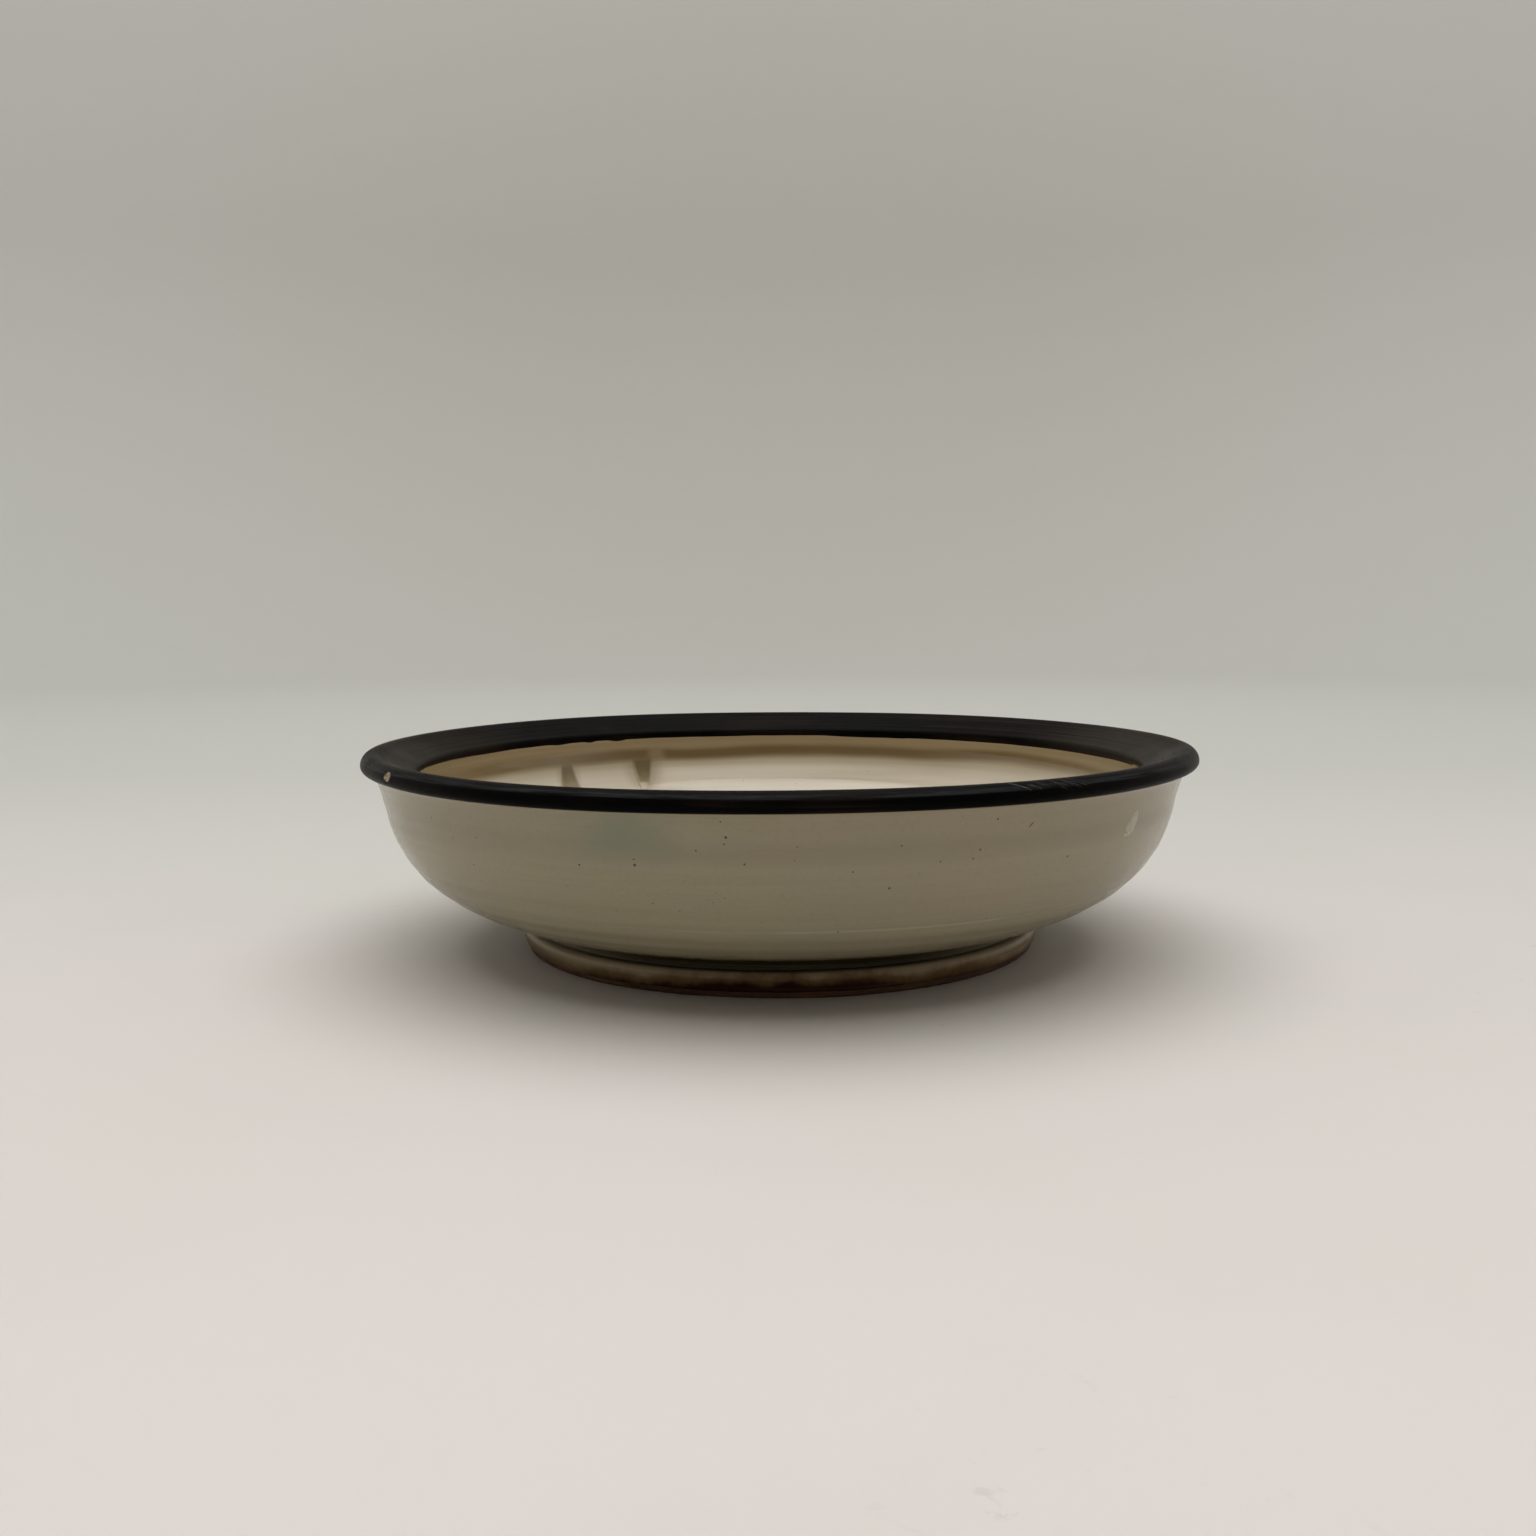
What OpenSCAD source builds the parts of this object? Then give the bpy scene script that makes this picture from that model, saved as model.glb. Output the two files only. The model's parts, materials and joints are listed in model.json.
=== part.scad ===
// Round, shallow, wheel-thrown bonsai pot with a flared lip and a turned foot ring.
// Millimetres, +Z up. The origin is the centre of the circle that the foot stands on.
// Every part of it is a turned shape, so one line drawn on the clay, from the foot up the
// outside, over the lip and down the inside to the drain hole, gives the clay and all the coats.

/* [Overall] */
// Diameter over the glazed lip
rim_d = 150; // [146:1:156]
// Height from the foot to the crest of the glazed lip
pot_h = 36.7; // [36:0.1:38]

/* [Lip] */
// Radius of the clay edge of the lip above its widest line
edge_top_r = 1.7; // [1.4:0.1:2]
// Radius of the clay edge below its widest line
edge_under_r = 0.6; // [0.5:0.05:0.8]
// Fall of the lip's inner slope, in degrees
lip_slope = 27; // [24:0.5:30]
// Radial width of the lip's inner slope
lip_w = 6.1; // [5.5:0.1:6.5]
// Drop from the foot of that slope to where the dark glaze ends
lip_drop = 0.8; // [0.5:0.1:1.2]

/* [Bowl] */
// Height at which the outer wall starts to curl into the lip
wall_top_z = 26.3; // [25:0.1:27]
// Distance that the lip stands out from the wall below it
lip_overhang = 4.3; // [4:0.1:5]
// Radius at which the flat underside turns up into the belly
belly_r = 52; // [50:0.5:54]
// Thickness of the clay floor
floor_t = 4.5; // [4:0.1:5]
// Radius of the flat floor inside the bowl
floor_r = 44; // [40:0.5:46]

/* [Foot] */
// Diameter of the foot ring over its clay shoulder
foot_d = 93.7; // [90:0.1:96]
// Height of the foot ring, up to the underside of the floor
foot_h = 6.5; // [6:0.1:7]
// Width of the ring, from its shoulder to its inner face
foot_w = 6.5; // [5:0.1:8]
// Height of the ring's shoulder
shoulder_z = 4.2; // [3.8:0.1:4.6]
// Depth of the groove between the shoulder and the belly
groove_depth = 1.5; // [1.3:0.1:1.8]

/* [Glaze] */
// Thickness of the glaze coats
glaze_t = 0.4; // [0.3:0.05:0.5]
// Height that the glaze runs stand above the inner coat
run_t = 0.4; // [0.3:0.05:0.6]

/* [Holes] */
// Diameter of the drain hole
drain_d = 12; // [8:0.5:16]
// Diameter of the tie-wire holes
wire_d = 4; // [3:0.5:5]
// Distance between the two tie-wire holes
wire_gap = 44; // [36:1:50]
// Width of bare clay left round each hole in the floor
wiped_w = 1; // [0.5:0.1:2]

/* [Hidden] */
$fn = 180;

foot_edge_r = 0.8;      // rounding of the ring's lower edges, which stay bare clay
foot_taper = 0.45;      // inward lean of the ring's outer face, shoulder to ground
shoulder_r = 0.8;       // rounding of the ring's shoulder
belly_rise = 1.4;       // rise of the underside from the groove to the turn of the belly
curve_steps = 10;       // straight facets along each long curve
curl_steps = 8;         // facets along the curl under the lip
band_step = 6;          // facet of that curl at which the dark rim glaze begins
edge_steps = 8;         // facets round each rounded edge
inner_edge_r = 0.4;     // rounding of the lip's inner edge
overcut = 1;            // length by which a cutter passes the face it cuts
run_depth = 30;         // distance that the outline of a glaze run is cut towards the wall

// Angle at which the rounded edge of the lip begins, and the angle square to its inner slope
edge_from = -70;
slope_normal = 90 + lip_slope;

// Handles of each curve at its start and at its end, as an angle and a length
belly_handles = [[19.5, 11], [-102.4, 9.2]];
curl_handles = [[77.6, 9], [edge_from - 90, 1.5]];
bowl_handles = [[-90, 11.5], [0, 14.3]];

foot_r = foot_d / 2;
foot_low_r = foot_r - foot_taper;
foot_in_r = foot_r - foot_w;
neck_r = foot_r - groove_depth;
floor_z = foot_h + floor_t;
drain_r = drain_d / 2;
wiped_r = drain_r + wiped_w;

clay_rim_r = rim_d / 2 - glaze_t;
widest_z = pot_h - glaze_t - edge_top_r;

function along(angle, length) = length * [cos(angle), sin(angle)];

// Arc of circle from one angle to another
function arc(centre, r, from, to, steps) =
    [for (i = [0:steps]) centre + along(from + (to - from) * i / steps, r)];

// Cubic curve from a to d by its two handles, without its first point
function curve(a, d, handles, steps) =
    let (b = a + along(handles[0][0], handles[0][1]), c = d + along(handles[1][0], handles[1][1]))
    [for (i = [1:steps]) let (t = i / steps, s = 1 - t)
        pow(s, 3) * a + 3 * s * s * t * b + 3 * s * t * t * c + pow(t, 3) * d];

// Unit vector square to the way from a to b, on its right
function right_of(a, b) = [b[1] - a[1], a[0] - b[0]] / norm(b - a);

// The line moved out by t on its right, with mitred corners
function proud(line, t) =
    let (last = len(line) - 1)
    [for (i = [0:last]) let (
        before = right_of(line[max(i - 1, 0)], line[max(i, 1)]),
        after = right_of(line[min(i, last - 1)], line[min(i + 1, last)]))
        line[i] + t * (before + after) / (1 + before * after)];

function slice(line, from, to) = [for (i = [from:to]) line[i]];
function reverse(line) = [for (i = [len(line) - 1:-1:0]) line[i]];

// Outer face of the foot ring, from its lower edge up to the groove under the belly
foot_line = concat(
    [[foot_low_r, foot_edge_r]],
    arc([foot_r - shoulder_r, shoulder_z - shoulder_r], shoulder_r, 0, 90, edge_steps),
    [[neck_r, shoulder_z], [neck_r, foot_h]]);

// Underside and belly, up to the wall below the lip
belly_start = [belly_r, foot_h + belly_rise];
wall_top = [clay_rim_r - lip_overhang, wall_top_z];
belly_line = concat([belly_start], curve(belly_start, wall_top, belly_handles, curve_steps));

// Curl of the wall out into the lip
under_centre = [clay_rim_r - edge_under_r, widest_z];
edge_start = under_centre + along(edge_from, edge_under_r);
curl_line = curve(wall_top, edge_start, curl_handles, curl_steps);

// Rounded edge of the lip: tight below its widest line and fuller above it
edge_line = concat(
    slice(arc(under_centre, edge_under_r, edge_from, 0, edge_steps), 1, edge_steps),
    slice(arc([clay_rim_r - edge_top_r, widest_z], edge_top_r, 0, slope_normal, edge_steps),
        1, edge_steps));

// Slope inside the lip, its rounded inner edge and the drop to the crease where the dark glaze ends
slope_end = edge_line[len(edge_line) - 1] + lip_w * [-1, -tan(lip_slope)];
inner_edge_line = arc(slope_end - along(slope_normal, inner_edge_r), inner_edge_r, slope_normal, 180,
    edge_steps);
crease = inner_edge_line[edge_steps] - [0, lip_drop];

// Inside of the bowl, from the crease to the flat floor and the edge of the drain hole
bowl_line = concat(
    curve(crease, [floor_r, floor_z], bowl_handles, curve_steps),
    [[wiped_r, floor_z]]);

clay_line = concat(foot_line, belly_line, curl_line, edge_line, inner_edge_line, [crease],
    bowl_line);
coat_line = proud(clay_line, glaze_t);
run_line = proud(clay_line, glaze_t + run_t);

// Places along the line where one coat ends and the next begins
at_groove = len(foot_line) - 1;
at_band = at_groove + len(belly_line) + band_step;
at_crease = len(clay_line) - len(bowl_line) - 1;
at_drain = len(clay_line) - 1;

// Ring of glaze that covers the clay from one place on the line to another
module coat(from, to) {
    rotate_extrude()
        polygon(concat(slice(clay_line, from, to), reverse(slice(coat_line, from, to))));
}

// Two upright holes through the floor for the wires that tie the tree down
module wire_holes(r) {
    for (side = [-1, 1])
        translate([side * wire_gap / 2, 0, foot_h - overcut])
            cylinder(r = r, h = floor_t + 2 * overcut);
}

// Glaze run down the inside wall, with a straight head and a round foot
module glaze_run(azimuth, head_w, foot_w, head_z, foot_z) {
    intersection() {
        rotate_extrude()
            polygon(concat(slice(coat_line, at_crease, at_drain - 1),
                reverse(slice(run_line, at_crease, at_drain - 1))));
        rotate([90, 0, azimuth + 90])
            translate([0, 0, floor_r])
                linear_extrude(run_depth)
                    union() {
                        polygon([[-head_w / 2, head_z], [head_w / 2, head_z],
                            [foot_w / 2, foot_z], [-foot_w / 2, foot_z]]);
                        translate([0, foot_z])
                            circle(foot_w / 2);
                    }
    }
}

// Thrown bowl: floor, wall and lip in one piece of clay
module clay_body() {
    color("tan")
        difference() {
            rotate_extrude()
                polygon(concat([[drain_r, foot_h]], slice(clay_line, at_groove, at_drain),
                    [[drain_r, floor_z]]));
            wire_holes(wire_d / 2);
        }
}

// Ring of clay that the bowl stands on, joined to it at the bottom of the groove
module foot_ring() {
    color("saddlebrown")
        rotate_extrude()
            polygon(concat(
                [[foot_in_r, foot_h]],
                arc([foot_in_r + foot_edge_r, foot_edge_r], foot_edge_r, 180, 270, edge_steps),
                arc([foot_low_r - foot_edge_r, foot_edge_r], foot_edge_r, 270, 360, edge_steps),
                slice(clay_line, 1, at_groove)));
}

// Pale glaze on the belly and wall
module outer_glaze() {
    color("darkkhaki") coat(at_groove, at_band);
}

// Dark iron glaze over the lip
module rim_glaze() {
    color("black") coat(at_band, at_crease);
}

// Clear amber glaze inside, wiped back from the holes
module inner_glaze() {
    color("wheat")
        difference() {
            coat(at_crease, at_drain);
            wire_holes(wire_d / 2 + wiped_w);
        }
}

// Glaze on the outer face of the foot ring, above its bare edge
module foot_glaze() {
    color("olive") coat(0, at_groove);
}

// Two thick runs of tan glaze on the inside wall, one widening as it falls and one narrowing
module inner_glaze_runs() {
    color("peru") {
        glaze_run(135.5, 2.6, 5.5, 28, 20);
        glaze_run(117.5, 6.5, 3, 28, 19.5);
    }
}

clay_body();
foot_ring();
outer_glaze();
rim_glaze();
inner_glaze();
foot_glaze();
inner_glaze_runs();
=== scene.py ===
"""Round thrown bonsai pot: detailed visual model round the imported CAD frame.

Every surface is turned from one line drawn on the clay, from the foot up the outside, over the lip and
down the inside. Throwing rings and the small wobble of a thrown pot move that line in and out, and the
clay and every glaze coat follow it, so they fit each other as fired glaze does.
Profiles are worked out in millimetres and turned into metres when a mesh is made.
"""
import json
import math

import bpy
import numpy as np
from mathutils import Matrix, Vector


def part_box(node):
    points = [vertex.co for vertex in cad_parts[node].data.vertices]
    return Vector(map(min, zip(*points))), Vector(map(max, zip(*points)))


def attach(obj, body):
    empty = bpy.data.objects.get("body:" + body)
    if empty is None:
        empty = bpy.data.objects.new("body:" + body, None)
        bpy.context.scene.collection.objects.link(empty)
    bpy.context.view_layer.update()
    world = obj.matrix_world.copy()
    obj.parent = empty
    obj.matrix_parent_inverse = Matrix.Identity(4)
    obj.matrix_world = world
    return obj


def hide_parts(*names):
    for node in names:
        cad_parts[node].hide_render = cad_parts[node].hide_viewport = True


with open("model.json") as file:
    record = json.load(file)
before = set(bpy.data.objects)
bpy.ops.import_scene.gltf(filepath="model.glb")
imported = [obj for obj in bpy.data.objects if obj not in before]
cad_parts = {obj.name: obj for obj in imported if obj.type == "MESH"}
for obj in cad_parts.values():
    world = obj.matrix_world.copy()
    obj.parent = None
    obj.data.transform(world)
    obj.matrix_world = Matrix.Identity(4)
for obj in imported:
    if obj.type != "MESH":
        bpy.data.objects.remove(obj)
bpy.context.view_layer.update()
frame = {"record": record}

MM = 0.001

# ---------------- sizes from the frame, in millimetres

MOUNTS = {m["name"]: m for m in frame["record"]["mounts"]}


def box_mm(node):
    low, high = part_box(node)
    return low / MM, high / MM


RIM_R = box_mm("rim_glaze")[1].x
POT_H = box_mm("rim_glaze")[1].z
FOOT_R = box_mm("foot_ring")[1].x
FOOT_H = box_mm("foot_ring")[1].z
FLOOR_T = MOUNTS["drain_hole"]["dims"]["length_mm"]
DRAIN_R = MOUNTS["drain_hole"]["dims"]["r_mm"]
WIRE_R = MOUNTS["tie_holes"]["dims"]["hole_r_mm"]
WIRE_X = MOUNTS["tie_holes"]["dims"]["spacing_x_mm"] / 2
FLOOR_Z = FOOT_H + FLOOR_T

# ---------------- form of the pot, in millimetres

GLAZE_T = 0.4         # glaze coats
EDGE_TOP_R = 1.7      # clay edge of the lip above its widest line
EDGE_UNDER_R = 0.6    # clay edge below it
LIP_SLOPE = 27.0      # fall of the lip's inner slope, degrees
LIP_W = 6.1           # radial width of that slope
INNER_EDGE_R = 0.4    # rounding at the foot of that slope
LIP_DROP = 0.8        # from there down to where the dark glaze ends
LIP_OVERHANG = 4.3    # how far the lip stands out from the wall
WALL_TOP_Z = 26.3     # where the wall starts to curl into the lip
BELLY_R = 52.0        # where the underside turns up into the belly
BELLY_RISE = 1.4      # rise of the underside from the groove to there
FLOOR_R = 44.0        # flat floor inside
SHOULDER_Z = 4.2      # shoulder of the foot ring
SHOULDER_R = 0.8      # its rounding
GROOVE = 1.5          # depth of the groove above it
FOOT_EDGE = 0.8       # rounding of the ring's lower edges
FOOT_TAPER = 0.45     # lean of the ring's outer face
FOOT_W = 6.5          # width of the ring
WIPED = 1.0           # bare clay round each hole
BAND_Z = 33.45        # lower edge of the dark glaze outside
GLAZE_SEAT = 0.05     # how far a coat's hidden face is let into what it lies on
PAD_EDGE_SINK = 0.02  # how far the edge of a run, fleck or blister is let into the coat
PAD_SINK = 0.12       # how far its hidden face is

STEP = 0.1            # spacing of points along the clay line
SOFTEN = 0.22         # rounding that softens its corners

# ---------------- features, placed on the pot, in millimetres and degrees

# Chip in the lip: degrees to the right of the front, height above the start of the edge, half sizes
CHIP_AT = -56.0
CHIP_UP = 0.6
CHIP_W = 1.3
CHIP_H = 0.8

# The longest scratch across the crest: degrees to the right of the front
SCRATCH_AT = 27.6

# Blister: degrees to the right of the front, and the heights that it reaches from and to
BLISTER_AT = 51.0
BLISTER_LOW = 25.6
BLISTER_TOP = 29.6

# Ridge low on the belly, and the pale line on it: partly glaze breaking thin over it, partly painted
# highlight
RIDGE_Z = 15.6
PALE_LINE_Z = 14.7

# Blue-green flush: degrees to the right of the front, height
FLUSH_AT = -18.2
FLUSH_Z = 30.2

# Small drips of the dark glaze inside: degrees from the back towards the left, half width, depth
INNER_DRIPS = [(33, 2.2, 0.45), (39, 1.6, 0.35), (46, 3.0, 0.25), (-24, 2.5, 0.2)]

# Tan runs inside: degrees from the back towards the left, heights of the top and foot, widths there
RUNS = [(44.8, 28.6, 17.2, 3.4, 6.0), (28.0, 28.8, 17.6, 5.8, 2.8)]

# Gap in the brown line inside: degrees from the back towards the left
LINE_GAP = 25.0

# Iron flecks: degrees to the right of the front, height, radius
FLECKS = [
    (-17, 25.5, 0.24), (-6, 30, 0.25), (-6.5, 32.4, 0.16), (-6.2, 29, 0.15), (-4, 26, 0.17),
    (-9.5, 28, 0.16), (-42, 23, 0.16), (-45, 27, 0.17), (-40, 27.6, 0.17), (38, 24.3, 0.22),
    (14, 28.3, 0.15), (13, 22, 0.2), (7.5, 15, 0.18), (24, 27, 0.2), (19, 25.6, 0.15), (2, 28.6, 0.12),
]

# One slanted dash among them: degrees to the right of the front, height
DASH_AT = 30.8
DASH_Z = 30.1

# ---------------- lines and curves

FULL_TURN = 2 * math.pi
HOLE_SIDES = 64                 # facets round a drilled hole
DENSE_HALF = math.radians(1.5)  # half of the arc where the lip's mesh is finer, at the chip


def along(degrees, length):
    a = math.radians(degrees)
    return length * np.array([math.cos(a), math.sin(a)])


def arc(centre, r, start, end, steps=40):
    return [np.array(centre) + along(start + (end - start) * i / steps, r) for i in range(steps + 1)]


def curve(a, d, start_handle, end_handle, steps=120):
    """Cubic curve from a to d; each handle is an angle in degrees and a length."""
    a, d = np.array(a), np.array(d)
    b, c = a + along(*start_handle), d + along(*end_handle)
    points = []
    for i in range(steps + 1):
        t = i / steps
        s = 1 - t
        points.append(s ** 3 * a + 3 * s * s * t * b + 3 * s * t * t * c + t ** 3 * d)
    return points


def smoothstep(low, high, x):
    t = np.clip((x - low) / (high - low), 0, 1)
    return t * t * (3 - 2 * t)


def hump(centre, half_width, x):
    """1 at centre, falling smoothly to 0 at half_width to either side."""
    return 1 - smoothstep(0, half_width, np.abs(x - centre))


def arch(x, least=0.0):
    """Height of a round arch over -1 to 1; its square is never under least."""
    return np.sqrt(np.clip(1 - x ** 2, least, 1))


class Line:
    """A smooth line in the (radius, height) plane, with its length s, its points and its outward normals."""

    def __init__(self, *stretches):
        points = [np.array(stretches[0][0], float)]
        marks = [0.0]
        length = 0.0
        for stretch in stretches:
            for point in stretch:
                gap = float(np.linalg.norm(point - points[-1]))
                if gap > 1e-6:
                    length += gap
                    points.append(np.array(point, float))
            marks.append(length)
        raw = np.array(points)
        run = np.concatenate([[0], np.cumsum(np.linalg.norm(np.diff(raw, axis=0), axis=1))])
        count = int(run[-1] / STEP)
        self.s = np.linspace(0, run[-1], count + 1)
        even = np.stack([np.interp(self.s, run, raw[:, i]) for i in (0, 1)], 1)
        self.points = self.soften(even)
        tangent = np.gradient(self.points, self.s, axis=0)
        tangent /= np.linalg.norm(tangent, axis=1)[:, None]
        self.normals = np.stack([tangent[:, 1], -tangent[:, 0]], 1)
        self.marks = marks

    @staticmethod
    def soften(points):
        """Rounds the corners over a few tenths of a millimetre and leaves the two ends where they are."""
        reach = int(4 * SOFTEN / STEP)
        weights = np.exp(-0.5 * (np.arange(-reach, reach + 1) * STEP / SOFTEN) ** 2)
        weights /= weights.sum()
        before = 2 * points[0] - points[reach:0:-1]
        after = 2 * points[-1] - points[-2:-reach - 2:-1]
        padded = np.concatenate([before, points, after])
        return np.stack([np.convolve(padded[:, i], weights, "valid") for i in (0, 1)], 1)

    def at(self, s):
        """Radius, height and outward normal at length s, for an array of any shape."""
        return [np.interp(s, self.s, column) for column in (*self.points.T, *self.normals.T)]

    def find_z(self, z, low, high):
        """Length at which the line reaches height z, between two lengths where it only climbs."""
        inside = (self.s >= low) & (self.s <= high)
        return np.interp(z, self.points[inside, 1], self.s[inside])


def clay_line():
    """The line drawn on the clay, from the foot's lower edge to the drain hole."""
    foot_low_r = FOOT_R - FOOT_TAPER
    neck_r = FOOT_R - GROOVE
    clay_rim_r = RIM_R - GLAZE_T
    widest_z = POT_H - GLAZE_T - EDGE_TOP_R
    belly = [BELLY_R, FOOT_H + BELLY_RISE]
    wall_top = [clay_rim_r - LIP_OVERHANG, WALL_TOP_Z]
    under = arc([clay_rim_r - EDGE_UNDER_R, widest_z], EDGE_UNDER_R, -70, 0)
    top = arc([clay_rim_r - EDGE_TOP_R, widest_z], EDGE_TOP_R, 0, 90 + LIP_SLOPE)
    slope_end = top[-1] + LIP_W * np.array([-1, -math.tan(math.radians(LIP_SLOPE))])
    inner_centre = slope_end - along(90 + LIP_SLOPE, INNER_EDGE_R)
    inner_edge = arc(inner_centre, INNER_EDGE_R, 90 + LIP_SLOPE, 180)
    crease = inner_edge[-1] - [0, LIP_DROP]
    foot = [[foot_low_r, FOOT_EDGE]]
    foot += arc([FOOT_R - SHOULDER_R, SHOULDER_Z - SHOULDER_R], SHOULDER_R, 0, 90)
    foot += [[neck_r, SHOULDER_Z], [neck_r, FOOT_H]]
    return Line(
        foot,
        [belly] + curve(belly, wall_top, (19.5, 11), (-102.4, 9.2)),
        curve(wall_top, under[0], (77.6, 9), (-160, 1.5)),
        under,
        top,
        inner_edge + [crease],
        curve(crease, [FLOOR_R, FLOOR_Z], (-90, 11.5), (0, 14.3)) + [[DRAIN_R + WIPED, FLOOR_Z]],
    )


LINE = clay_line()
S_GROOVE, S_WALL_TOP, S_EDGE, S_WIDEST, S_SLOPE, S_CREASE, S_DRAIN = LINE.marks[1:]
S_CREST = S_WIDEST + math.radians(90) * EDGE_TOP_R

S_BAND = LINE.find_z(BAND_Z + 0.3, S_GROOVE + 5, S_EDGE)

# ---------------- relief left by throwing

OUT_OF_ROUND = 0.0012  # share of the lip's radius by which its narrowest width falls short
SAG = 0.10             # half the difference in height between two sides of the lip
RIPPLE = 0.05          # half the difference along its five small waves


def rings(s, azimuth, wavelengths, height, seed, climb=1):
    """Uneven throwing rings: a few waves along the line, which climb as they go round and swell and fade."""
    rng = np.random.default_rng(seed)
    total = 0
    for wavelength in wavelengths:
        phase, drift, swell = rng.uniform(0, FULL_TURN, 3)
        total = total + np.sin(FULL_TURN * s / wavelength + phase + climb * azimuth
                               + 0.5 * np.sin(azimuth + drift)) * (1 + 0.4 * np.sin(azimuth + swell))
    return height * total / len(wavelengths)


def relief(s, azimuth):
    """How far the clay stands proud of its plain turned form, in millimetres."""
    outside = smoothstep(S_GROOVE + 6, S_GROOVE + 14, s) * (1 - smoothstep(S_EDGE - 6, S_EDGE - 2, s))
    inside = smoothstep(S_CREASE + 1, S_CREASE + 6, s) * (1 - smoothstep(S_DRAIN - 12, S_DRAIN - 4, s))
    slope = smoothstep(S_SLOPE, S_SLOPE + 1.5, s) * (1 - smoothstep(S_CREASE - 3, S_CREASE - 2, s))
    out = outside * rings(s, azimuth, (3.4, 5.3, 8.7), 0.055, 3)
    out = out + outside * rings(s, azimuth, (0.9, 1.35), 0.007, 11, climb=0)
    ridge_s = LINE.find_z(RIDGE_Z, S_GROOVE + 5, S_WALL_TOP)
    out = out + 0.035 * hump(ridge_s, 0.9, s + 0.15 * np.sin(azimuth)) - 0.03 * hump(ridge_s - 1.6, 1.6, s)
    out = out + inside * rings(s, azimuth, (4.1, 6.3, 9.0), 0.16, 5)
    out = out + slope * rings(s, azimuth, (1.1, 1.9), 0.02, 8, climb=0)
    return out


def settle(radius, height, azimuth):
    """The slight lean and roundness error of a fired pot. It only ever takes the lip in and down."""
    high = smoothstep(8, POT_H, height)
    radius = radius * (1 - OUT_OF_ROUND * high * (1 + np.cos(2 * azimuth + 0.9)) / 2)
    sag = SAG * (1 + np.sin(2 * azimuth - 0.4)) + RIPPLE * (1 + np.sin(5 * azimuth))
    return radius, height - high * sag


def surface(s, azimuth, thickness):
    """Radius and height of the surface that stands a given thickness off the clay."""
    r, z, nr, nz = LINE.at(s)
    off = relief(s, azimuth) + thickness
    return settle(r + nr * off, z + nz * off, azimuth)


def point_on(s, azimuth, thickness):
    """Places in the pot's frame, in millimetres."""
    r, z = surface(s, azimuth, thickness)
    return np.stack(np.broadcast_arrays(r * np.cos(azimuth), r * np.sin(azimuth), z), -1)


def from_front(degrees):
    """Azimuth of a place so many degrees to the right of the front, which faces -Y."""
    return math.radians(degrees - 90)


def from_back(degrees):
    """Azimuth of a place so many degrees to the left of the back."""
    return math.radians(90 + degrees)


def inside_length(z):
    """Length at which the inside of the bowl comes down to height z."""
    inside = (LINE.s > S_CREASE) & (LINE.s < S_DRAIN - 30)
    return float(np.interp(-z, -LINE.points[inside, 1], LINE.s[inside]))


def outside_length(z):
    """Length at which the belly and wall reach height z."""
    return float(LINE.find_z(z, S_GROOVE + 5, S_EDGE))


# ---------------- meshes


def signed_volume(vertices, triangles):
    a, b, c = (vertices[triangles[:, i]] for i in range(3))
    return float(np.einsum("ij,ij->i", a, np.cross(b, c)).sum())


def link_object(name, vertices, faces):
    """A smooth mesh object in the scene, from points in metres."""
    mesh = bpy.data.meshes.new(name)
    mesh.from_pydata(vertices, [], faces)
    mesh.validate()
    mesh.shade_smooth()
    obj = bpy.data.objects.new(name, mesh)
    bpy.context.scene.collection.objects.link(obj)
    return obj


def ring_faces(rows, columns, closed=False):
    """Quads between the points of rings that lie one after another, and from the last back to the first
    if closed."""
    row, column = np.meshgrid(np.arange(rows if closed else rows - 1), np.arange(columns), indexing="ij")
    next_row, next_column = (row + 1) % rows, (column + 1) % columns
    quads = np.stack([row * columns + column, row * columns + next_column,
                      next_row * columns + next_column, next_row * columns + column], -1)
    return quads.reshape(-1, 4).tolist()


def make_object(name, vertices, faces):
    """A mesh object from points in millimetres, with its faces turned outwards."""
    triangles = np.array([face[:3] for face in faces] + [(f[0], f[2], f[3]) for f in faces if len(f) == 4])
    if signed_volume(vertices, triangles) < 0:
        faces = [face[::-1] for face in faces]
    return link_object(name, (vertices * MM).tolist(), faces)


def turned(name, radius, height, azimuths):
    """A closed ring solid. radius and height have one row for each point of the closed profile."""
    radius, height = np.broadcast_arrays(radius, height)
    rows, columns = radius.shape
    vertices = np.stack([radius * np.cos(azimuths), radius * np.sin(azimuths), height], -1).reshape(-1, 3)
    return make_object(name, vertices, ring_faces(rows, columns, closed=True))


def even_turn(count, dense_at=None):
    """Azimuths all round, closer together round one place if it is given."""
    azimuths = np.linspace(0, FULL_TURN, count, endpoint=False)
    if dense_at is not None:
        extra = np.linspace(dense_at - DENSE_HALF, dense_at + DENSE_HALF, 50)
        azimuths = np.concatenate([azimuths, extra % FULL_TURN])
    return np.unique(np.round(azimuths, 6))


def rounded_end(distance, reach):
    """Thickness, from 0 to 1, of a coat so far from its edge."""
    return arch(1 - np.clip(distance / reach, 0, 1))


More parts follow.
